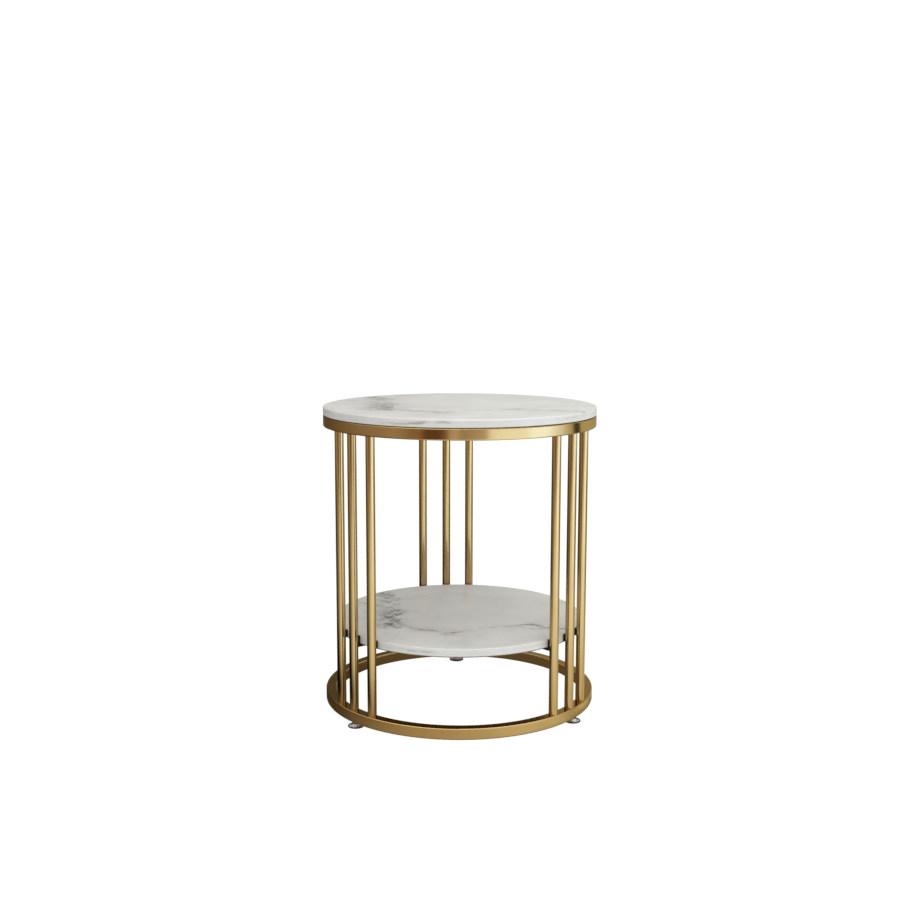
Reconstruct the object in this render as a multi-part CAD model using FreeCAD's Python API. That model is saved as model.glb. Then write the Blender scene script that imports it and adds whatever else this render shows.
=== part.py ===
import FreeCAD, Part
import math
import os

V = FreeCAD.Vector

# ---------------------------------------------------------------- dimensions
# Millimetres. Z = 0 is the floor, the Z axis is the table's centre line,
# the table's front faces -Y.

# frame rings: rolled square tube
RING_R_OUT = 250.0        # outer radius of both rings
RING_TUBE = 20.0          # tube section, square
RING_WALL = 1.5           # tube wall
RING_CORNER = 2.0         # outer corner radius of the tube section
RING_CORNER_IN = 0.8      # inner corner radius of the tube section

FOOT_GAP = 10.0           # floor to underside of the lower ring
LOWER_Z = FOOT_GAP        # underside of the lower ring
UPPER_Z = FOOT_GAP + 512.0  # underside of the upper ring

# posts: round tube, three groups of three
POST_R = 8.0
POST_WALL = 1.5
POST_CIRCLE_R = 240.0     # centre line of the ring tube
GROUPS = {                # the posts of each group, degrees from +X
    "rear": (85.4, 96.5, 108.2),
    "left": (208.5, 219.3, 230.8),
    "right": (313.4, 324.45, 335.6),
}
VENT_R = 3.0              # vent hole from each ring into each post

# marble slabs
TOP_R = 250.0
TOP_T = 14.0
SHELF_R = 229.0
SHELF_T = 14.0
SLAB_EASE_TOP = 2.0       # rounding of the upper edge
SLAB_EASE_LOW = 1.0       # rounding of the lower edge
SHELF_Z = FOOT_GAP + 139.6  # underside of the shelf

# dark brown backing sheets bonded under the slabs
TOP_BACK_T = 1.2
TOP_BACK_R = TOP_R - 1.8
SHELF_BACK_T = 1.4
SHELF_BACK_R = SHELF_R - 1.2
BACK_EASE = 0.3

# shelf supports: a pad with a saddle on each post, three of them with a lip under the shelf
SUP_W = 9.0               # width along the rim
SUP_GAP = 0.3             # between the shelf's edge and the support
SUP_SADDLE_X = 236.0      # how far the saddle reaches round the post
SUP_FIT = 0.03            # saddle to post
SUP_LIP_X = 214.0         # inner end of the lip
SUP_LIP_T = 5.0           # lip thickness
SUP_PAD_UP = 1.0          # underside of a plain pad above the shelf's underside
SUP_WITH_LIP = ("rear_2", "left_2", "right_1")
SUP_TOP_BELOW = -0.2      # support top below the shelf's top face
SCREW_Z = 6.5             # screw axis above the shelf's underside
SCREW_R = 1.48            # M3
SCREW_HOLE_R = 1.6
SCREW_HEAD_R = 2.8
SCREW_LEN = 8.0
SCREW_DRIVE_AF = 2.0
POST_SCREW_HOLE_R = 1.5

# levelling feet
FEET = {                  # degrees from +X
    "left": 220.4,
    "right": 328.0,
    "rear": 91.4,
}
FOOT_CIRCLE_R = 240.0
CUP_R = 14.2
CUP_H = 2.7
CUP_FLOOR = 0.9
CUP_BORE_R = 12.7
DISC_R = 12.65
DISC_T = 1.1
BOSS_R = 5.8
BOSS_TOP = 6.0            # also the underside of the hexagon
SOCKET_R = 4.05
SOCKET_FLOOR = 1.6
HEX_AF = 13.0
STUD_R = 4.0              # M8
STUD_ROOT_R = 3.35
THREAD_PITCH = 1.25
STUD_TOP = FOOT_GAP + 16.0
NUT_AF = 13.0
NUT_H = 6.5
NUT_BORE_R = 4.05
FOOT_HOLE_R = 4.5         # hole in the ring's underside

os.makedirs("parts", exist_ok=True)


# ---------------------------------------------------------------- helpers
def save(name, shape):
    shape = shape.removeSplitter() if shape.ShapeType != "Compound" else shape
    solids = shape.Solids
    out = solids[0] if len(solids) == 1 else Part.makeCompound(solids)
    for s in solids:
        assert s.isValid(), name
    out.exportStep("parts/%s.step" % name)
    print("%-24s solids %d  volume %.1f mm3" % (name, len(solids), sum(s.Volume for s in solids)))


def turned(shape, deg):
    s = shape.copy()
    s.rotate(V(0, 0, 0), V(0, 0, 1), deg)
    return s


def round_rect(x0, x1, z0, z1, r):
    """Closed wire of a rounded rectangle in the XZ plane."""
    k = r * (1.0 - math.sqrt(0.5))
    p = lambda x, z: V(x, 0, z)
    edges = [
        Part.LineSegment(p(x0 + r, z0), p(x1 - r, z0)).toShape(),
        Part.Arc(p(x1 - r, z0), p(x1 - k, z0 + k), p(x1, z0 + r)).toShape(),
        Part.LineSegment(p(x1, z0 + r), p(x1, z1 - r)).toShape(),
        Part.Arc(p(x1, z1 - r), p(x1 - k, z1 - k), p(x1 - r, z1)).toShape(),
        Part.LineSegment(p(x1 - r, z1), p(x0 + r, z1)).toShape(),
        Part.Arc(p(x0 + r, z1), p(x0 + k, z1 - k), p(x0, z1 - r)).toShape(),
        Part.LineSegment(p(x0, z1 - r), p(x0, z0 + r)).toShape(),
        Part.Arc(p(x0, z0 + r), p(x0 + k, z0 + k), p(x0 + r, z0)).toShape(),
    ]
    return Part.Wire(edges)


def revolve_wire(wire):
    return Part.Face(wire).revolve(V(0, 0, 0), V(0, 0, 1), 360)


def revolve_points(points, centre_x=0.0):
    """Solid of revolution of an (r, z) outline about a vertical axis."""
    wire = Part.makePolygon([V(r, 0, z) for r, z in points + points[:1]])
    s = Part.Face(wire).revolve(V(0, 0, 0), V(0, 0, 1), 360)
    s.translate(V(centre_x, 0, 0))
    return s


def hexagon(af, z0, h, centre_x=0.0):
    rad = af / math.sqrt(3.0)
    pts = [V(rad * math.cos(math.radians(a)), rad * math.sin(math.radians(a)), z0)
           for a in range(0, 361, 60)]
    s = Part.Face(Part.makePolygon(pts)).extrude(V(0, 0, h))
    s.translate(V(centre_x, 0, 0))
    return s


def cyl_z(r, z0, z1, x=0.0, y=0.0):
    return Part.makeCylinder(r, z1 - z0, V(x, y, z0), V(0, 0, 1))


def cyl_x(r, x0, x1, z):
    return Part.makeCylinder(r, x1 - x0, V(x0, 0, z), V(1, 0, 0))


def circle_edges(shape, z, r):
    found = []
    for e in shape.Edges:
        c = e.Curve
        if isinstance(c, Part.Circle) and abs(c.Center.z - z) < 1e-6 and abs(c.Radius - r) < 1e-6:
            found.append(e)
    return found


POSTS = []                # (group, number in the group, angle)
for group, angles in GROUPS.items():
    for n, ang in enumerate(angles, 1):
        POSTS.append((group, n, ang))


# ---------------------------------------------------------------- rings
def ring(z0):
    r_in = RING_R_OUT - RING_TUBE
    outer = revolve_wire(round_rect(r_in, RING_R_OUT, z0, z0 + RING_TUBE, RING_CORNER))
    hollow = revolve_wire(round_rect(r_in + RING_WALL, RING_R_OUT - RING_WALL,
                                     z0 + RING_WALL, z0 + RING_TUBE - RING_WALL, RING_CORNER_IN))
    return outer.cut(hollow)


lower = ring(LOWER_Z)
upper = ring(UPPER_Z)
for group, n, ang in POSTS:
    lower = lower.cut(turned(cyl_z(VENT_R, LOWER_Z + RING_TUBE - RING_WALL - 1,
                                   LOWER_Z + RING_TUBE + 1, POST_CIRCLE_R), ang))
    upper = upper.cut(turned(cyl_z(VENT_R, UPPER_Z - 1, UPPER_Z + RING_WALL + 1, POST_CIRCLE_R), ang))
for name, ang in FEET.items():
    lower = lower.cut(turned(cyl_z(FOOT_HOLE_R, LOWER_Z - 1, LOWER_Z + RING_WALL + 1, FOOT_CIRCLE_R), ang))
save("lower_ring", lower)
save("upper_ring", upper)

# ---------------------------------------------------------------- posts
post_z0 = LOWER_Z + RING_TUBE
post_z1 = UPPER_Z
screw_z = SHELF_Z + SCREW_Z
post = cyl_z(POST_R, post_z0, post_z1, POST_CIRCLE_R)
post = post.cut(cyl_z(POST_R - POST_WALL, post_z0 - 1, post_z1 + 1, POST_CIRCLE_R))
post = post.cut(cyl_x(POST_SCREW_HOLE_R, POST_CIRCLE_R - POST_R - 1, POST_CIRCLE_R - POST_R + POST_WALL + 1, screw_z))
for group, n, ang in POSTS:
    save("%s_post_%d" % (group, n), turned(post, ang))


# ---------------------------------------------------------------- slabs
def slab(r, z0, t):
    s = cyl_z(r, z0, z0 + t)
    s = s.makeFillet(SLAB_EASE_TOP, circle_edges(s, z0 + t, r))
    return s.makeFillet(SLAB_EASE_LOW, circle_edges(s, z0, r))


def backing(r, z1, t):
    s = cyl_z(r, z1 - t, z1)
    return s.makeFillet(BACK_EASE, circle_edges(s, z1 - t, r))


top_z = UPPER_Z + RING_TUBE + TOP_BACK_T
save("top_slab", slab(TOP_R, top_z, TOP_T))
save("shelf_slab", slab(SHELF_R, SHELF_Z, SHELF_T))
save("top_backing", backing(TOP_BACK_R, top_z, TOP_BACK_T))
save("shelf_backing", backing(SHELF_BACK_R, SHELF_Z, SHELF_BACK_T))

# ---------------------------------------------------------------- shelf supports
lip_top = SHELF_Z - SHELF_BACK_T
sup_z1 = SHELF_Z + SHELF_T - SUP_TOP_BELOW
sup_x0 = SHELF_R + SUP_GAP
half = SUP_W / 2.0


def flat_edges(shape, z, x_max, lines_only=True):
    return [e for e in shape.Edges
            if all(abs(v.Z - z) < 1e-6 for v in e.Vertexes) and e.CenterOfMass.x < x_max
            and (not lines_only or isinstance(e.Curve, Part.Line))]


def same_edges(shape, edges):
    return [e for e in shape.Edges if any((e.CenterOfMass - t.CenterOfMass).Length < 1e-4 for t in edges)]


def shelf_support(with_lip):
    z0 = lip_top - SUP_LIP_T if with_lip else SHELF_Z + SUP_PAD_UP
    s = Part.makeBox(SUP_SADDLE_X - sup_x0, SUP_W, sup_z1 - z0, V(sup_x0, -half, z0))
    if with_lip:
        lip = Part.makeBox(sup_x0 + 1.0 - (SUP_LIP_X + half), SUP_W, SUP_LIP_T, V(SUP_LIP_X + half, -half, z0))
        tongue = cyl_z(half, z0, lip_top, SUP_LIP_X + half)
        s = s.fuse(lip).fuse(tongue).removeSplitter()
    s = s.cut(cyl_z(POST_R + SUP_FIT, z0 - 1, sup_z1 + 1, POST_CIRCLE_R))
    # softened edges: round the top on the shelf side and at both ends, and along the underside
    face_x = POST_CIRCLE_R - POST_R + 1.0
    top_edges = flat_edges(s, sup_z1, face_x)
    if with_lip:
        s = s.makeFillet(0.8, flat_edges(s, z0, sup_x0, lines_only=False))
    else:
        s = s.makeFillet(0.6, flat_edges(s, z0, face_x))
    s = s.makeFillet(0.6, same_edges(s, top_edges))
    s = s.cut(cyl_x(SCREW_HOLE_R, sup_x0 - 1, SUP_SADDLE_X, screw_z))
    sink = Part.makeCone(SCREW_HEAD_R + 0.2, SCREW_HOLE_R, SCREW_HEAD_R + 0.2 - SCREW_HOLE_R,
                         V(sup_x0, 0, screw_z), V(1, 0, 0))
    return s.cut(sink)


pad = shelf_support(False)
carrier = shelf_support(True)

head_x = sup_x0 + 0.15
head = Part.makeCone(SCREW_HEAD_R, SCREW_R, SCREW_HEAD_R - SCREW_R, V(head_x, 0, screw_z), V(1, 0, 0))
shank = cyl_x(SCREW_R, head_x + 0.5, head_x + SCREW_LEN, screw_z)
drive = hexagon(SCREW_DRIVE_AF, 0, 1.1)
drive.rotate(V(0, 0, 0), V(0, 1, 0), 90)
drive.translate(V(head_x - 0.1, 0, screw_z))
screw = head.fuse(shank).removeSplitter().cut(drive)

screws = []
for group, n, ang in POSTS:
    shape = carrier if "%s_%d" % (group, n) in SUP_WITH_LIP else pad
    save("%s_shelf_support_%d" % (group, n), turned(shape, ang))
    screws.append(turned(screw, ang))
save("shelf_support_screws", Part.makeCompound(screws))

# ---------------------------------------------------------------- levelling feet
cup = revolve_points([
    (0, 0), (CUP_R - 0.5, 0), (CUP_R, 0.5), (CUP_R, CUP_H - 0.4), (CUP_R - 0.4, CUP_H),
    (CUP_BORE_R + 0.3, CUP_H), (CUP_BORE_R, CUP_H - 0.3), (CUP_BORE_R, CUP_FLOOR), (0, CUP_FLOOR)])
disc = revolve_points([
    (0, CUP_FLOOR), (DISC_R - 0.3, CUP_FLOOR), (DISC_R, CUP_FLOOR + 0.3),
    (DISC_R, CUP_FLOOR + DISC_T - 0.5), (DISC_R - 0.5, CUP_FLOOR + DISC_T),
    (BOSS_R + 2.2, CUP_FLOOR + DISC_T + 0.15), (BOSS_R + 0.8, CUP_FLOOR + DISC_T + 0.6),
    (BOSS_R + 0.2, CUP_FLOOR + DISC_T + 1.5), (BOSS_R, BOSS_TOP - 0.4), (BOSS_R - 0.4, BOSS_TOP),
    (SOCKET_R, BOSS_TOP), (SOCKET_R, SOCKET_FLOOR), (0, SOCKET_FLOOR)])

stud_outline = [(0, SOCKET_FLOOR + 0.15), (STUD_R - 0.4, SOCKET_FLOOR + 0.15), (STUD_R, SOCKET_FLOOR + 0.55),
                (STUD_R, FOOT_GAP + 0.6)]
z = FOOT_GAP + 0.6
while z + THREAD_PITCH < STUD_TOP - 1.2:
    stud_outline += [(STUD_ROOT_R, z + 0.45 * THREAD_PITCH), (STUD_ROOT_R, z + 0.55 * THREAD_PITCH),
                     (STUD_R, z + 0.95 * THREAD_PITCH), (STUD_R, z + 1.05 * THREAD_PITCH)]
    z += THREAD_PITCH
stud_outline += [(STUD_R, STUD_TOP - 0.9), (STUD_R - 0.9, STUD_TOP), (0, STUD_TOP)]
stud = revolve_points(stud_outline)
hexa = hexagon(HEX_AF, BOSS_TOP, FOOT_GAP - BOSS_TOP)
rim = HEX_AF / math.sqrt(3.0)
chamfer = revolve_points([(0, BOSS_TOP), (HEX_AF / 2.0 + 0.1, BOSS_TOP), (rim + 0.1, BOSS_TOP + 0.6),
                          (rim + 0.1, FOOT_GAP - 0.6), (HEX_AF / 2.0 + 0.1, FOOT_GAP), (0, FOOT_GAP)])
stud = stud.fuse(hexa.common(chamfer))

nut_z0 = LOWER_Z + RING_WALL
nut = hexagon(NUT_AF, nut_z0, NUT_H).cut(cyl_z(NUT_BORE_R, nut_z0 - 1, nut_z0 + NUT_H + 1))
rim = NUT_AF / math.sqrt(3.0)
nut = nut.common(revolve_points([(0, nut_z0), (rim + 0.1, nut_z0), (rim + 0.1, nut_z0 + NUT_H - 0.6),
                                 (NUT_AF / 2.0 + 0.1, nut_z0 + NUT_H), (0, nut_z0 + NUT_H)]))

for name, ang in FEET.items():
    for piece, shape in (("cup", cup), ("disc", disc), ("stud", stud), ("nut", nut)):
        s = shape.copy()
        s.translate(V(FOOT_CIRCLE_R, 0, 0))
        save("foot_%s_%s" % (name, piece), turned(s, ang))
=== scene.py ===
import bpy
import math
from mathutils import Matrix, Vector

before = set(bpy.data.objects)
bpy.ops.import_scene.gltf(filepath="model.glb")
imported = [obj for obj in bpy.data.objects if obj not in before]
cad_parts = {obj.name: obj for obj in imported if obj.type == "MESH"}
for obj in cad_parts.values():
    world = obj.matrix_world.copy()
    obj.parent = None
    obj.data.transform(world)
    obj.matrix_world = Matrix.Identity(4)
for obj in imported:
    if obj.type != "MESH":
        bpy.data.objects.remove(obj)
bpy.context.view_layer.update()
scene = bpy.context.scene

GROUPS = ("rear", "left", "right")
FEET = ("left", "right", "rear")


# ------------------------------------------------------------------ node helpers
class Net:
    """A small builder for a material's or a world's node tree."""

    def __init__(self, tree):
        self.tree = tree
        tree.nodes.clear()

    def node(self, kind, **props):
        n = self.tree.nodes.new("ShaderNode" + kind)
        for k, v in props.items():
            setattr(n, k, v)
        return n

    def put(self, socket, value):
        if isinstance(value, bpy.types.NodeSocket):
            self.tree.links.new(value, socket)
        elif value is not None:
            socket.default_value = value

    def math(self, op, a, b=None, c=None, clamp=False):
        n = self.node("Math", operation=op, use_clamp=clamp)
        for i, v in enumerate((a, b, c)):
            if v is not None:
                self.put(n.inputs[i], v)
        return n.outputs[0]

    def vmath(self, op, a, b=None):
        n = self.node("VectorMath", operation=op)
        self.put(n.inputs[0], a)
        if b is not None:
            self.put(n.inputs["Scale"] if op == "SCALE" else n.inputs[1], b)
        return n.outputs["Value"] if op in ("LENGTH", "DOT_PRODUCT", "DISTANCE") else n.outputs["Vector"]

    def xyz(self, v):
        n = self.node("SeparateXYZ")
        self.put(n.inputs[0], v)
        return n.outputs

    def vec(self, x, y, z):
        n = self.node("CombineXYZ")
        for i, v in enumerate((x, y, z)):
            self.put(n.inputs[i], v)
        return n.outputs[0]

    def noise(self, v, scale, detail=3.0, rough=0.5, distortion=0.0, out="Fac"):
        n = self.node("TexNoise")
        self.put(n.inputs["Vector"], v)
        n.inputs["Scale"].default_value = scale
        n.inputs["Detail"].default_value = detail
        n.inputs["Roughness"].default_value = rough
        n.inputs["Distortion"].default_value = distortion
        return n.outputs[out]

    def voronoi(self, v, scale, feature="DISTANCE_TO_EDGE", randomness=1.0):
        n = self.node("TexVoronoi", feature=feature)
        self.put(n.inputs["Vector"], v)
        n.inputs["Scale"].default_value = scale
        n.inputs["Randomness"].default_value = randomness
        return n.outputs["Distance"]

    def ramp(self, fac, x0, x1, y0=0.0, y1=1.0, smooth=True):
        n = self.node("MapRange", interpolation_type="SMOOTHSTEP" if smooth else "LINEAR")
        n.clamp = True
        self.put(n.inputs[0], fac)
        for i, v in zip((1, 2, 3, 4), (x0, x1, y0, y1)):
            n.inputs[i].default_value = v
        return n.outputs[0]

    def curve(self, fac, x0, x1, points, kind="AUTO"):
        """Value of a line through (x, y) points, x from x0 to x1."""
        t = self.ramp(fac, x0, x1, 0.0, 1.0, smooth=False)
        ys = [p[1] for p in points]
        lo, hi = min(ys), max(ys)
        if hi - lo < 1e-9:
            hi = lo + 1.0
        n = self.node("FloatCurve")
        cm = n.mapping
        cm.extend = "HORIZONTAL"
        c = cm.curves[0]
        pts = [((x - x0) / (x1 - x0), (y - lo) / (hi - lo)) for x, y in points]
        while len(c.points) < len(pts):
            c.points.new(0.5, 0.5)
        for p, q in zip(c.points, pts):
            p.location = q
            p.handle_type = kind
        cm.update()
        self.put(n.inputs["Value"], t)
        n.inputs["Factor"].default_value = 1.0
        return self.math("MULTIPLY_ADD", n.outputs[0], hi - lo, lo)

    def mix(self, fac, a, b, kind="RGBA", blend="MIX"):
        n = self.node("Mix", data_type=kind)
        if kind == "RGBA":
            n.blend_type = blend
            ia, ib, out = n.inputs[6], n.inputs[7], n.outputs[2]
        else:
            ia, ib, out = n.inputs[2], n.inputs[3], n.outputs[0]
        self.put(n.inputs[0], fac)
        for s, v in ((ia, a), (ib, b)):
            if isinstance(v, tuple) and len(v) == 3:
                v = v + (1.0,)
            self.put(s, v)
        return out

    def over(self, a, b):
        """Two depths of colour laid over each other."""
        keep = self.math("MULTIPLY", self.math("SUBTRACT", 1.0, a, clamp=True), self.math("SUBTRACT", 1.0, b, clamp=True))
        return self.math("SUBTRACT", 1.0, keep)

    def bump(self, height, strength, distance):
        n = self.node("Bump")
        n.inputs["Strength"].default_value = strength
        n.inputs["Distance"].default_value = distance
        self.put(n.inputs["Height"], height)
        return n.outputs[0]


def new_material(name):
    m = bpy.data.materials.new(name)
    m.use_nodes = True
    net = Net(m.node_tree)
    out = net.node("OutputMaterial")
    bsdf = net.node("BsdfPrincipled")
    net.tree.links.new(bsdf.outputs[0], out.inputs["Surface"])
    pos = net.node("TexCoord").outputs["Object"]
    return m, net, bsdf, pos


def give(node, material):
    ob = bpy.data.objects[node]
    if not ob.material_slots:
        ob.data.materials.append(material)
    for s in ob.material_slots:
        s.material = material


# ------------------------------------------------------------------ marble
SPAN = 260.0  # mm, half the width over which the vein lines are drawn

# Lines in the stone, in mm, seen from above. "along" says which way a line runs: across the
# slab (x) or from front to back (y). "at" is its course, "half" its half width and "depth"
# how dark it is. Both slabs show the same stone, the top a little further to the left.
VEINS = [
    {"along": "x",
     "at": [(-260, 60), (-180, 30), (-140, -8), (-119, -40), (-106, -72), (-78, -102), (-52, -114), (-38, -120),
            (-22, -131), (-8, -128), (10, -116), (40, -100), (72, -89), (96, -84), (113, -77), (129, -74),
            (143, -84), (158, -96), (185, -103), (212, -107), (232, -126), (260, -150)],
     "half": [(-260, 4), (-120, 6), (-78, 6), (-20, 6), (60, 4), (129, 4), (200, 6), (260, 4)],
     "depth": [(-260, 0.0), (-170, 0.0), (-125, 0.40), (-100, 0.45), (-76, 0.85), (-52, 0.85), (-36, 0.80), (-20, 0.85),
               (-6, 0.52), (20, 0.42), (70, 0.46), (98, 0.64), (130, 0.86), (155, 0.80), (190, 0.66), (215, 0.74), (236, 0.30),
               (260, 0.0)]},
    {"along": "x",
     "at": [(-260, -60), (60, -78), (104, -92), (122, -98), (138, -104), (152, -97), (170, -86), (190, -78), (260, -50)],
     "half": [(-260, 3), (260, 3)],
     "depth": [(-260, 0.0), (88, 0.0), (112, 0.62), (140, 0.84), (165, 0.58), (195, 0.34), (225, 0.10), (260, 0.0)]},
    {"along": "x",
     "at": [(-260, -160), (-120, -118), (-80, -112), (-40, -128), (-10, -146), (30, -150), (70, -138), (260, -120)],
     "half": [(-260, 3), (260, 3)],
     "depth": [(-260, 0.0), (-110, 0.0), (-70, 0.35), (-30, 0.50), (0, 0.30), (40, 0.12), (70, 0.0), (260, 0.0)]},
    {"along": "y",
     "at": [(-260, -60), (0, -130), (33, -143), (53, -156), (98, -208), (140, -226), (260, -240)],
     "half": [(-260, 5), (260, 5)],
     "depth": [(-260, 0.0), (10, 0.0), (35, 0.45), (60, 0.62), (98, 0.55), (125, 0.20), (160, 0.0), (260, 0.0)]},
    {"along": "x",
     "at": [(-260, 190), (-170, 150), (-140, 140), (-120, 108), (-80, 128), (-20, 150), (60, 118), (130, 126), (200, 84), (260, 60)],
     "half": [(-260, 5), (260, 5)],
     "depth": [(-260, 0.0), (-185, 0.10), (-160, 0.60), (-138, 0.55), (-118, 0.35), (-80, 0.12), (-10, 0.10), (60, 0.14),
               (130, 0.10), (200, 0.16), (260, 0.0)]},
]
# A braided band of nested arcs that runs from back to front on the left: its middle line, where
# along it the arcs lie (counted), how dark it is, and its columns of arcs (offset, step, depth).
BAND = {
    "at": [(-260, -100), (-120, -124), (-77, -128), (-29, -131), (3, -132), (60, -137), (105, -140), (150, -156), (260, -190)],
    "arc": [(-260, -3), (-125, -1), (-77, 0), (-29, 1), (3, 2), (40, 3), (82, 4), (112, 5), (150, 6), (260, 8)],
    "depth": [(-260, 0.0), (-125, 0.0), (-100, 0.45), (-77, 0.95), (-30, 1.0), (8, 1.0), (36, 0.45), (70, 0.42), (105, 0.70),
              (150, 0.60), (185, 0.15), (260, 0.0)],
    "columns": [(0.0, 0.0, 0.92), (15.0, 0.45, 0.84), (-14.0, 0.55, 0.40)],
}
# streaks on the edge: height below the top face in mm along x, and depth
TOP_EDGE = {
    "at": [(-260, 6), (-140, 9), (-122, 9.5), (-90, 8.5), (-66, 6.2), (-40, 5.6), (-14, 5.2), (40, 7), (130, 6), (260, 8)],
    "depth": [(-260, 0.10), (-150, 0.05), (-126, 0.20), (-100, 0.30), (-84, 0.38), (-62, 0.48), (-48, 0.28), (-30, 0.34), (-16, 0.30), (6, 0.05),
              (120, 0.0), (190, 0.12), (260, 0.10)],
}
SHELF_EDGE = {
    "at": [(-260, 6), (-80, 8), (-50, 7), (0, 9), (90, 6), (260, 8)],
    "depth": [(-260, 0.25), (-110, 0.10), (-72, 0.35), (-48, 0.32), (-20, 0.08), (60, 0.04), (180, 0.12), (260, 0.1)],
}


def marble(name, shift, edge, z_top, painted_light_slope):
    """Polished white marble. slope is a painted light gradient: how much lighter the stone is drawn towards the front
    and darker towards the back, where less light falls.
    """
    m, net, bsdf, pos = new_material(name)
    mm = net.vmath("SCALE", pos, 1000.0)
    px, py, pz = net.xyz(mm)
    mm = net.vmath("ADD", mm, (shift, 0.0, 0.0))
    half_grey = (0.5, 0.5, 0.5)
    # slow, quick and fine wandering of every line in the stone
    w1 = net.vmath("SUBTRACT", net.noise(mm, 0.016, 2.0, 0.5, out="Color"), half_grey)
    w2 = net.vmath("SUBTRACT", net.noise(mm, 0.075, 3.0, 0.6, out="Color"), half_grey)
    w3 = net.vmath("SUBTRACT", net.noise(mm, 0.30, 2.0, 0.5, out="Color"), half_grey)
    small = net.vmath("ADD", net.vmath("SCALE", w2, 9.0), net.vmath("SCALE", w3, 1.8))
    warped = net.vmath("ADD", mm, net.vmath("ADD", net.vmath("SCALE", w1, 9.0), small))
    x, y, z = net.xyz(warped)
    patch = net.ramp(net.noise(mm, 0.045, 2.0, 0.5), 0.32, 0.62, 0.25, 1.20)
    swell = net.ramp(net.noise(mm, 0.026, 1.0, 0.5), 0.30, 0.70, 0.65, 1.60)
    dark = 0.0
    beside = None

    for v in VEINS:
        t, s = (x, y) if v["along"] == "x" else (y, x)
        at = net.curve(t, -SPAN, SPAN, v["at"])
        half = net.math("MULTIPLY", net.curve(t, -SPAN, SPAN, v["half"]), swell)
        depth = net.curve(t, -SPAN, SPAN, v["depth"])
        q = net.math("DIVIDE", net.math("ABSOLUTE", net.math("SUBTRACT", s, at)), half)
        core = net.math("POWER", net.math("SUBTRACT", 1.0, net.math("MULTIPLY", q, 2.4), clamp=True), 1.2)
        band = net.math("POWER", net.math("SUBTRACT", 1.0, q, clamp=True), 1.4)
        veil = net.math("POWER", net.math("SUBTRACT", 1.0, net.math("MULTIPLY", q, 0.22), clamp=True), 2.0)
        line = net.math("MULTIPLY_ADD", core, 0.30, net.math("MULTIPLY_ADD", band, 0.56, net.math("MULTIPLY", veil, 0.20)))
        line = net.math("MULTIPLY", net.math("MULTIPLY", line, depth), patch)
        dark = line if dark == 0.0 else net.over(dark, line)
        if beside is None:
            beside = net.math("MULTIPLY", net.ramp(q, 0.5, 5.0, 1.0, 0.0), depth)

    # the braided band: columns of nested arcs, crackle round them, and a grey haze
    bx, by, bz = net.xyz(net.vmath("ADD", mm, small))
    u = net.math("SUBTRACT", bx, net.curve(by, -SPAN, SPAN, BAND["at"]))
    along = net.curve(by, -SPAN, SPAN, BAND["depth"])
    broken = net.ramp(net.noise(mm, 0.060, 2.0, 0.5), 0.38, 0.58, 0.32, 1.0)
    for column, phase, weight in BAND["columns"]:
        c = net.math("SUBTRACT", u, column)
        rise = net.math("MULTIPLY", net.math("MULTIPLY", c, c), 0.20)
        count = net.math("ADD", net.curve(net.math("SUBTRACT", by, rise), -SPAN, SPAN, BAND["arc"], kind="VECTOR"), phase)
        arcs = net.ramp(net.math("PINGPONG", count, 0.5), 0.05, 0.26, 1.0, 0.0)
        arcs = net.math("MULTIPLY", arcs, net.ramp(net.math("ABSOLUTE", c), 5.0, 10.0, 1.0, 0.0))
        arcs = net.math("MULTIPLY", net.math("MULTIPLY", arcs, along), net.math("MULTIPLY", broken, weight))
        dark = net.over(dark, arcs)
    stray = net.math("MULTIPLY_ADD", net.noise(mm, 0.020, 2.0, 0.5), 60.0, -30.0)
    off = net.math("ABSOLUTE", net.math("ADD", u, stray))
    curl = net.math("ABSOLUTE", net.math("SUBTRACT", net.noise(warped, 0.042, 2.0, 0.5, 0.4), 0.5))
    curl = net.ramp(curl, 0.0, 0.034, 1.0, 0.0)
    curl2 = net.math("ABSOLUTE", net.math("SUBTRACT", net.noise(warped, 0.095, 2.0, 0.5, 0.3), 0.5))
    curl = net.math("MAXIMUM", curl, net.ramp(curl2, 0.0, 0.035, 0.7, 0.0))
    crackle = net.math("MULTIPLY", net.math("MULTIPLY", curl, net.ramp(off, 5.0, 30.0, 1.0, 0.0)), net.math("MULTIPLY", along, 0.60))
    dark = net.over(dark, crackle)
    dark = net.over(dark, net.math("MULTIPLY", net.math("MULTIPLY", curl, beside), 0.22))
    haze = net.math("MULTIPLY", net.math("MULTIPLY", net.ramp(off, 4.0, 62.0, 1.0, 0.0), along),
                    net.ramp(net.noise(mm, 0.03, 3.0, 0.6), 0.3, 0.7, 0.08, 0.34))
    dark = net.over(dark, haze)

    # faint wandering veins all over the slab
    ridge = net.math("ABSOLUTE", net.math("SUBTRACT", net.noise(warped, 0.0075, 1.5, 0.5, 0.5), 0.5))
    faint = net.ramp(ridge, 0.0, 0.022, 1.0, 0.0)
    faint = net.math("MULTIPLY", faint, net.ramp(net.noise(mm, 0.010, 1.0, 0.5), 0.44, 0.66))
    dark = net.over(dark, net.math("MULTIPLY", faint, 0.06))

    # on the edge face only a trace of these is left, and there are streaks along it
    dark = net.math("MULTIPLY", dark, net.ramp(net.math("SUBTRACT", z_top, pz), 0.6, 2.4, 1.0, 0.05))
    below = net.math("SUBTRACT", z_top, net.math("MULTIPLY_ADD", net.math("SUBTRACT", net.noise(mm, 0.05, 2.0, 0.5), 0.5), 5.0, pz))
    eq = net.math("ABSOLUTE", net.math("SUBTRACT", below, net.curve(px, -SPAN, SPAN, edge["at"])))
    streak = net.math("POWER", net.math("SUBTRACT", 1.0, net.math("DIVIDE", eq, 3.5), clamp=True), 1.2)
    streak = net.math("MULTIPLY", streak, net.curve(px, -SPAN, SPAN, edge["depth"]))
    dark = net.over(dark, net.math("MULTIPLY", streak, patch))

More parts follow.
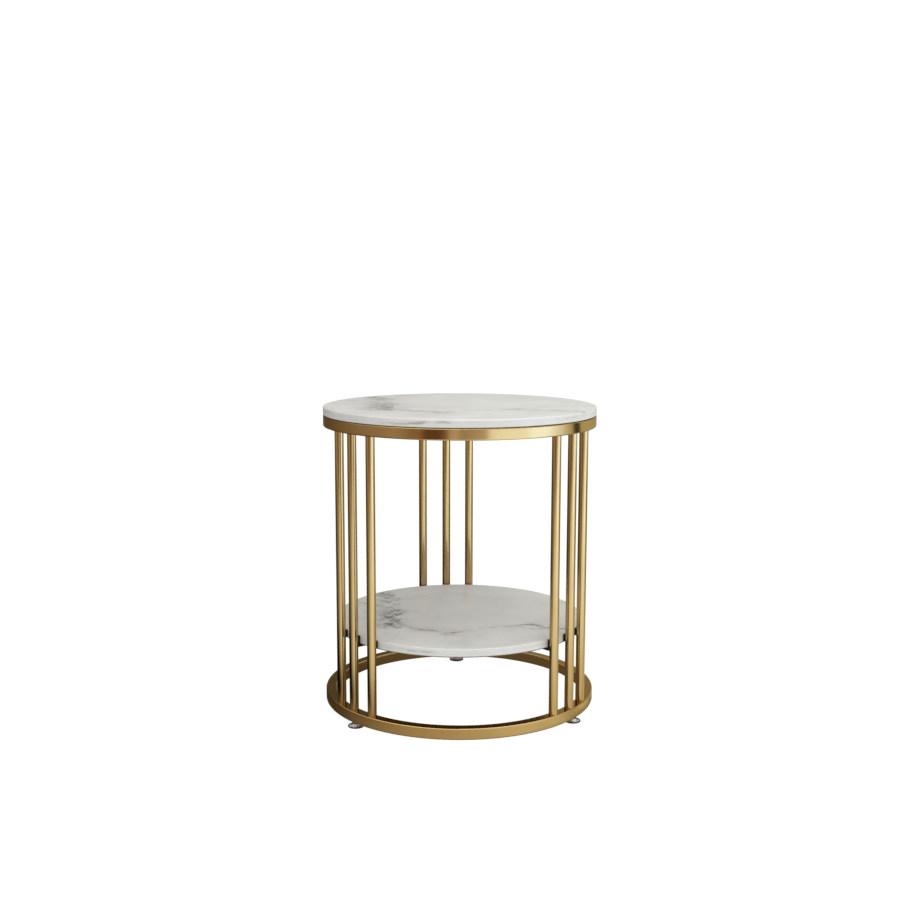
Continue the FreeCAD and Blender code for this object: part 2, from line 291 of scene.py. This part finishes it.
    cloud = net.noise(mm, 0.011, 4.0, 0.55)
    fine = net.noise(mm, 0.35, 3.0, 0.6)
    base = net.mix(net.ramp(cloud, 0.3, 0.7), (0.83, 0.835, 0.817), (0.75, 0.755, 0.742))
    base = net.mix(net.math("MULTIPLY", net.ramp(fine, 0.35, 0.75), 0.08), base, (0.64, 0.64, 0.63))
    # painted light and shade: the stone is drawn lighter towards the front and darker towards the back, by slope
    base = net.vmath("SCALE", base, net.ramp(py, -230.0, 230.0, 1.0 + painted_light_slope, 1.0 - painted_light_slope, smooth=False))
    # painted shade: the edge face is drawn a trace greyer than the top face
    base = net.vmath("SCALE", base, net.ramp(net.math("SUBTRACT", z_top, pz), 0.2, 2.0, 1.0, 0.945))
    # the veins are grey, and brownish in places
    rust = net.ramp(net.noise(mm, 0.017, 2.0, 0.5), 0.52, 0.64, 0.0, 0.45)
    colour = net.mix(dark, base, net.mix(rust, (0.085, 0.079, 0.072), (0.21, 0.145, 0.10)))
    net.put(bsdf.inputs["Base Color"], colour)
    net.put(bsdf.inputs["Roughness"], net.ramp(net.noise(mm, 0.020, 0.0, 0.5), 0.3, 0.7, 0.28, 0.34))
    bsdf.inputs["Specular IOR Level"].default_value = 0.34
    return m


# ------------------------------------------------------------------ metals and plastics
GOLD = (0.47, 0.318, 0.138)
# mm: the middle line of the rings' square tube, half the flat of its faces, and half its width
RING_MID, RING_FLAT, RING_HALF = 240.0, 8.0, 10.0


def gold(name, ring_z=None):
    """Satin gold plating, with the grain of the polishing running round a ring or along a post.

    On a ring, whose tube has its middle at the height ring_z, the normals follow the true
    rounded section of the tube."""
    m, net, bsdf, pos = new_material(name)
    mm = net.vmath("SCALE", pos, 1000.0)
    x, y, z = net.xyz(mm)
    if ring_z is not None:
        ang = net.math("ARCTAN2", y, x)
        rad = net.math("SQRT", net.math("ADD", net.math("MULTIPLY", x, x), net.math("MULTIPLY", y, y)))
        dz = net.math("SUBTRACT", z, ring_z)
        up = net.ramp(net.math("ABSOLUTE", dz), RING_FLAT, RING_HALF, 0.0, 1.0, smooth=False)
        flat = net.math("SQRT", net.math("SUBTRACT", 1.0, net.math("MULTIPLY", up, up), clamp=True))
        out_r = net.math("DIVIDE", net.math("MULTIPLY", flat, net.math("SIGN", net.math("SUBTRACT", rad, RING_MID))), rad)
        n = net.vec(net.math("MULTIPLY", x, out_r), net.math("MULTIPLY", y, out_r), net.math("MULTIPLY", up, net.math("SIGN", dz)))
        turn = net.node("VectorTransform", vector_type="NORMAL", convert_from="OBJECT", convert_to="WORLD")
        net.put(turn.inputs[0], n)
        net.put(bsdf.inputs["Normal"], turn.outputs[0])
        g = net.vec(net.math("MULTIPLY", ang, 6.0), net.math("MULTIPLY", rad, 2.2), net.math("MULTIPLY", z, 2.2))
    else:
        g = net.vec(net.math("MULTIPLY", x, 2.2), net.math("MULTIPLY", y, 2.2), net.math("MULTIPLY", z, 0.012))
    grain = net.noise(g, 1.0, 3.0, 0.6)
    cloud = net.noise(mm, 0.02, 3.0, 0.5)
    tone = net.mix(net.ramp(cloud, 0.3, 0.7), GOLD, tuple(c * 0.94 for c in GOLD))
    tone = net.mix(net.ramp(grain, 0.3, 0.7, 0.0, 0.35), tone, tuple(c * 1.10 for c in GOLD))
    net.put(bsdf.inputs["Base Color"], tone)
    bsdf.inputs["Metallic"].default_value = 1.0
    net.put(bsdf.inputs["Roughness"], net.ramp(grain, 0.25, 0.75, 0.09, 0.13))
    bsdf.inputs["Specular Tint"].default_value = (0.80, 0.70, 0.50, 1.0)
    return m


def plain_metal(name, colour, rough, shade=0.85, grain=0.6):
    m, net, bsdf, pos = new_material(name)
    mm = net.vmath("SCALE", pos, 1000.0)
    n = net.noise(mm, grain, 3.0, 0.6)
    net.put(bsdf.inputs["Base Color"], net.mix(net.ramp(n, 0.3, 0.7), colour, tuple(c * shade for c in colour)))
    bsdf.inputs["Metallic"].default_value = 1.0
    net.put(bsdf.inputs["Roughness"], net.ramp(n, 0.3, 0.7, rough, rough + 0.12))
    return m


def moulded(name, colour, rough, grain_scale, strength, shine=0.5):
    m, net, bsdf, pos = new_material(name)
    mm = net.vmath("SCALE", pos, 1000.0)
    g = net.noise(mm, grain_scale, 2.0, 0.5)
    cloud = net.noise(mm, 0.15, 3.0, 0.5)
    net.put(bsdf.inputs["Base Color"], net.mix(net.ramp(cloud, 0.3, 0.7), colour, tuple(c * 1.4 for c in colour)))
    net.put(bsdf.inputs["Roughness"], net.ramp(g, 0.3, 0.7, rough, rough + 0.12))
    net.put(bsdf.inputs["Normal"], net.bump(g, strength, 0.0001))
    bsdf.inputs["Specular IOR Level"].default_value = shine
    return m


M_TOP = marble("marble_top", 12.0, TOP_EDGE, 557.2, 0.055)
M_SHELF = marble("marble_shelf", 0.0, SHELF_EDGE, 163.6, 0.065)
M_UPPER = gold("gold_upper_ring", 532.0)
M_LOWER = gold("gold_lower_ring", 20.0)
M_POST = gold("gold_post")
M_NYLON = moulded("black_nylon", (0.013, 0.009, 0.006), 0.50, 2.5, 0.20, 0.20)
M_BACK = moulded("backing", (0.20, 0.150, 0.070), 0.80, 1.2, 0.03, 0.20)
# painted shade: a darker copy of the backing for the top's sheet, standing in for the shade in the thin gap under the
# top
M_BACK_TOP_SHADED = moulded("backing_top_shaded", (0.110, 0.086, 0.046), 0.80, 1.2, 0.03, 0.20)
M_RUBBER = moulded("grey_rubber", (0.040, 0.040, 0.039), 0.26, 1.6, 0.06, 0.60)
M_ZINC = plain_metal("zinc", (0.55, 0.555, 0.56), 0.36)
# painted shade: the studs are a darker copy of the zinc, standing in for the shade under the ring above the feet
M_STUD_SHADED = plain_metal("zinc_stud_shaded", (0.17, 0.16, 0.145), 0.42)
M_NICKEL = plain_metal("nickel", (0.86, 0.855, 0.84), 0.60, 0.96, 0.12)

give("top_slab", M_TOP)
give("shelf_slab", M_SHELF)
give("top_backing", M_BACK_TOP_SHADED)
give("shelf_backing", M_BACK)
give("upper_ring", M_UPPER)
give("lower_ring", M_LOWER)
for g in GROUPS:
    for i in (1, 2, 3):
        give("%s_post_%d" % (g, i), M_POST)
        give("%s_shelf_support_%d" % (g, i), M_NYLON)
give("shelf_support_screws", M_ZINC)
for f in FEET:
    give("foot_%s_cup" % f, M_RUBBER)
    give("foot_%s_disc" % f, M_NICKEL)
    give("foot_%s_stud" % f, M_STUD_SHADED)
    give("foot_%s_nut" % f, M_ZINC)


# ------------------------------------------------------------------ what shines on the table
def screens(net, az):
    """Level and tint of the screens that stand round the table, by azimuth: 0 in front, 90 to the right."""
    level = net.curve(az, -180.0, 180.0, [
        (-180, 0.50), (-165, 0.22), (-150, 0.19), (-118, 0.31), (-84, 0.50), (-66, 0.545), (-55, 0.60), (-45, 0.53),
        (-38, 0.45), (-33, 0.47), (-26, 0.20), (-17, 0.21), (-13, 0.27), (-9.5, 0.50), (-6, 0.82), (-3.5, 0.86), (-0.5, 0.70),
        (2.5, 0.62), (8, 0.69), (14, 0.75), (20, 0.84), (26, 1.55), (42, 1.66), (52, 1.66), (61, 1.88), (71, 1.94), (84, 1.66),
        (93, 1.34), (98, 1.04), (101, 0.92), (104, 0.76), (106.4, 0.28), (108, 0.08), (113, 0.06), (115.7, 0.33), (118.2, 0.78),
        (121, 0.85), (126, 0.85), (140, 0.76), (150, 0.64), (160, 0.52), (180, 0.50)])
    tint = net.mix(net.ramp(az, -30.0, 5.0), (1.0, 0.82, 0.62), (1.0, 0.93, 0.82))
    warm = net.math("MULTIPLY", net.ramp(az, -50.0, -22.0), net.ramp(az, -17.0, -6.0, 1.0, 0.0))
    tint = net.mix(warm, tint, (1.0, 0.52, 0.30))
    tint = net.mix(net.ramp(az, 18.0, 30.0), tint, (1.0, 1.24, 1.55))
    cool = net.math("MULTIPLY", net.ramp(az, 52.0, 64.0), net.ramp(az, 75.0, 88.0, 1.0, 0.0))
    tint = net.mix(cool, tint, (1.0, 1.38, 2.05))
    tint = net.mix(net.ramp(az, 84.0, 102.0), tint, (1.0, 1.04, 0.86))
    return level, tint


# ------------------------------------------------------------------ floor
def floor():
    """A round pale floor, plain white where it is seen directly. In what shines on the table it is a painted
    reflection: a glow, darker to the left, with a painted shadow under the table.
    """
    r, n = 5.0, 120
    me = bpy.data.meshes.new("floor")
    me.from_pydata([(r * math.cos(2 * math.pi * i / n), r * math.sin(2 * math.pi * i / n), 0.0) for i in range(n)],
                   [], [tuple(range(n))])
    ob = bpy.data.objects.new("floor", me)
    scene.collection.objects.link(ob)
    m = bpy.data.materials.new("floor")
    m.use_nodes = True
    m.cycles.emission_sampling = "NONE"
    net = Net(m.node_tree)
    out = net.node("OutputMaterial")
    seen = net.node("LightPath")

    pale = net.node("BsdfDiffuse")
    pale.inputs["Color"].default_value = (0.05, 0.05, 0.05, 1.0)
    glow = net.node("Emission")
    glow.inputs["Color"].default_value = (1.0, 1.0, 1.0, 1.0)
    glow.inputs["Strength"].default_value = 0.985
    add = net.node("AddShader")
    net.put(add.inputs[0], pale.outputs[0])
    net.put(add.inputs[1], glow.outputs[0])

    real = net.node("BsdfDiffuse")
    real.inputs["Color"].default_value = (0.55, 0.546, 0.535, 1.0)

    x, y, z = net.xyz(net.node("NewGeometry").outputs["Position"])
    az = net.math("MULTIPLY", net.math("ARCTAN2", x, net.math("MULTIPLY", y, -1.0)), 180.0 / math.pi)
    out_from = net.math("SQRT", net.math("ADD", net.math("MULTIPLY", x, x), net.math("MULTIPLY", y, y)))
    close = net.curve(az, -180.0, 180.0, [
        (-180, 0.12), (-152, 0.12), (-139, 0.08), (-131, 0.012), (-97, 0.03), (-89, 0.06), (-83, 0.10), (-77, 0.115),
        (-71, 0.135), (-64, 0.19), (-52, 0.31), (-33, 0.55), (-9, 0.79), (11, 0.89), (33, 1.07), (44, 1.03), (51, 1.04),
        (56, 0.98), (61, 0.81), (66, 0.77), (72, 0.90), (78, 1.10), (84, 0.96), (90, 0.75), (98, 1.0), (115, 0.95),
        (138, 0.60), (155, 0.25), (170, 0.12), (180, 0.12)])
    close_hue = net.mix(net.ramp(az, -15.0, 25.0), (1.0, 0.87, 0.66), (1.0, 1.0, 0.82))
    far = net.curve(az, -180.0, 180.0, [
        (-180, 0.13), (-110, 0.115), (-85, 0.155), (-62, 0.28), (-48, 0.52), (-35, 0.82), (-22, 1.12), (-11, 1.32), (11, 1.47),
        (29, 1.92), (40, 2.08), (52, 2.14), (64, 2.02), (70, 1.50), (76, 0.88), (81, 0.62), (87, 0.50), (95, 0.37),
        (110, 0.28), (150, 0.33), (180, 0.25)])
    far_hue = net.mix(net.ramp(az, -60.0, -10.0), (1.0, 0.97, 0.70), (1.0, 1.10, 1.10))
    far_hue = net.mix(net.ramp(az, 0.0, 60.0), far_hue, (1.0, 1.18, 1.42))
    rim, rim_hue = screens(net, az)
    # painted shadow: in reflections the floor is drawn dark under the table, darker still to the left
    under = net.ramp(out_from, 0.246, 0.290)
    painted_left_shade = net.ramp(x, -0.22, -0.06, 0.6, 1.0)
    below = net.vec(net.math("MULTIPLY", painted_left_shade, 0.20), net.math("MULTIPLY", painted_left_shade, 0.17), net.math("MULTIPLY", painted_left_shade, 0.12))
    painted_reflection = net.mix(under, below, net.vmath("SCALE", close_hue, close))
    slow = net.curve(out_from, 0.30, 2.40, [(0.30, 0.0), (0.57, 0.16), (0.77, 0.34), (1.0, 0.53), (1.4, 0.68), (2.4, 1.0)])
    reach = net.mix(net.ramp(az, 5.0, 35.0), net.ramp(out_from, 0.31, 0.65), slow, kind="FLOAT")
    painted_reflection = net.mix(reach, painted_reflection, net.vmath("SCALE", far_hue, far))
    # painted shade: a dark patch on the left, not far from the table, in the floor's painted reflection
    patch = net.math("MULTIPLY", net.ramp(y, -0.50, -0.22), net.math("MULTIPLY", net.ramp(x, -0.30, -0.10, 1.0, 0.0), net.ramp(az, -150.0, -128.0)))
    patch = net.math("MULTIPLY", patch, net.math("MULTIPLY", net.ramp(out_from, 0.32, 0.42), net.ramp(out_from, 0.76, 0.96, 1.0, 0.0)))
    painted_reflection = net.vmath("SCALE", painted_reflection, net.math("MULTIPLY_ADD", patch, -0.95, 1.0))
    late = net.math("MULTIPLY", net.ramp(az, 5.0, 30.0), net.ramp(az, 112.0, 128.0, 1.0, 0.0))
    late = net.math("MAXIMUM", late, net.ramp(az, -92.0, -64.0, 0.92, 0.0))
    out_to = net.mix(late, net.ramp(out_from, 1.2, 3.6), net.ramp(out_from, 2.8, 4.6), kind="FLOAT")
    painted_reflection = net.mix(out_to, painted_reflection, net.vmath("SCALE", rim_hue, rim))
    # the painted reflection glows as emission, seen only in what shines
    shiny = net.node("Emission")
    net.put(shiny.inputs["Color"], painted_reflection)
    shiny.inputs["Strength"].default_value = 1.0

    mix = net.node("MixShader")
    net.put(mix.inputs[0], seen.outputs["Is Glossy Ray"])
    net.put(mix.inputs[1], real.outputs[0])
    net.put(mix.inputs[2], shiny.outputs[0])
    mix2 = net.node("MixShader")
    net.put(mix2.inputs[0], seen.outputs["Is Camera Ray"])
    net.put(mix2.inputs[1], mix.outputs[0])
    net.put(mix2.inputs[2], add.outputs[0])
    net.put(out.inputs["Surface"], mix2.outputs[0])
    me.materials.append(m)


floor()


# ------------------------------------------------------------------ light
def surroundings():
    """Soft studio surroundings: a pale dome, with darker and lighter screens round the table in what shines."""
    w = bpy.data.worlds.new("studio")
    scene.world = w
    w.use_nodes = True
    w.cycles.sampling_method = "NONE"
    net = Net(w.node_tree)
    out = net.node("OutputWorld")
    d = net.node("TexCoord").outputs["Generated"]
    x, y, z = net.xyz(d)
    az = net.math("MULTIPLY", net.math("ARCTAN2", x, net.math("MULTIPLY", y, -1.0)), 180.0 / math.pi)
    seen = net.node("LightPath")

    # in reflections: screens along the horizon, a darker back above them, and a bright ceiling
    level, hue = screens(net, az)
    back = net.curve(az, -180.0, 180.0, [
        (-180, 0.30), (-176, 0.16), (-150, 0.13), (-120, 0.30), (-90, 0.55), (-45, 0.85), (0, 1.0), (45, 1.1), (90, 1.0), (120, 0.70),
        (150, 0.50), (172, 0.46), (180, 0.30)])
    up = net.ramp(z, 0.10, 0.22)
    level = net.mix(up, level, back, kind="FLOAT")
    hue = net.mix(up, hue, (1.0, 0.96, 0.86))
    up = net.ramp(z, 0.40, 0.62)
    level = net.mix(up, level, 1.0, kind="FLOAT")
    hue = net.mix(up, hue, (1.0, 0.98, 0.94))
    level = net.mix(net.ramp(z, 0.66, 0.88), level, 2.7, kind="FLOAT")
    shiny = net.node("Background")
    net.put(shiny.inputs["Color"], hue)
    net.put(shiny.inputs["Strength"], level)

    # in the light that falls on the table
    fall = net.math("MULTIPLY_ADD", net.ramp(z, -0.1, 0.6), 0.64, 0.62)
    side = net.math("MULTIPLY", net.ramp(x, -1.0, 1.0, 0.54, 1.14, smooth=False), net.ramp(y, -1.0, 1.0, 1.34, 0.60, smooth=False))
    soft = net.node("Background")
    soft.inputs["Color"].default_value = (1.0, 0.995, 0.98, 1.0)
    net.put(soft.inputs["Strength"], net.math("MULTIPLY", fall, side))

    white = net.node("Background")
    white.inputs["Strength"].default_value = 1.05
    white.inputs["Color"].default_value = (1.0, 1.0, 1.0, 1.0)

    mix = net.node("MixShader")
    net.put(mix.inputs[0], seen.outputs["Is Glossy Ray"])
    net.put(mix.inputs[1], soft.outputs[0])
    net.put(mix.inputs[2], shiny.outputs[0])
    mix2 = net.node("MixShader")
    net.put(mix2.inputs[0], seen.outputs["Is Camera Ray"])
    net.put(mix2.inputs[1], mix.outputs[0])
    net.put(mix2.inputs[2], white.outputs[0])
    net.put(out.inputs["Surface"], mix2.outputs[0])


surroundings()


def softbox(name, azimuth, distance, z, width, height, level, colour):
    """A rectangular soft light facing the table. azimuth 0 is in front, 90 to the right."""
    a = math.radians(azimuth)
    at = Vector((distance * math.sin(a), -distance * math.cos(a), z))
    data = bpy.data.lights.new(name, "AREA")
    data.shape = "RECTANGLE"
    data.size, data.size_y = width, height
    data.energy = level * math.pi * width * height
    data.color = colour
    ob = bpy.data.objects.new(name, data)
    ob.location = at
    aim = Vector((0, 0, z)) - at
    ob.rotation_euler = aim.to_track_quat("-Z", "Y").to_euler()
    ob.visible_camera = False
    ob.visible_glossy = False
    scene.collection.objects.link(ob)


softbox("softbox_fill", 57.0, 2.0, 0.75, 2.05, 1.0, 0.45, (1.0, 0.983, 0.958))


# ------------------------------------------------------------------ camera
cam = bpy.data.cameras.new("camera")
cam.sensor_fit = "HORIZONTAL"
cam.sensor_width = 36.0
cam.lens = 48.358
cam.clip_end = 100.0
cam.shift_x = -0.00022
camera = bpy.data.objects.new("camera", cam)
scene.collection.objects.link(camera)
camera.matrix_world = (Matrix.Translation((0.0, -2.25679, 0.77508))
                       @ Matrix.Rotation(math.radians(81.953), 4, "X")
                       @ Matrix.Rotation(math.radians(0.127), 4, "Z"))
scene.camera = camera

scene.view_settings.view_transform = "Standard"
scene.view_settings.look = "None"
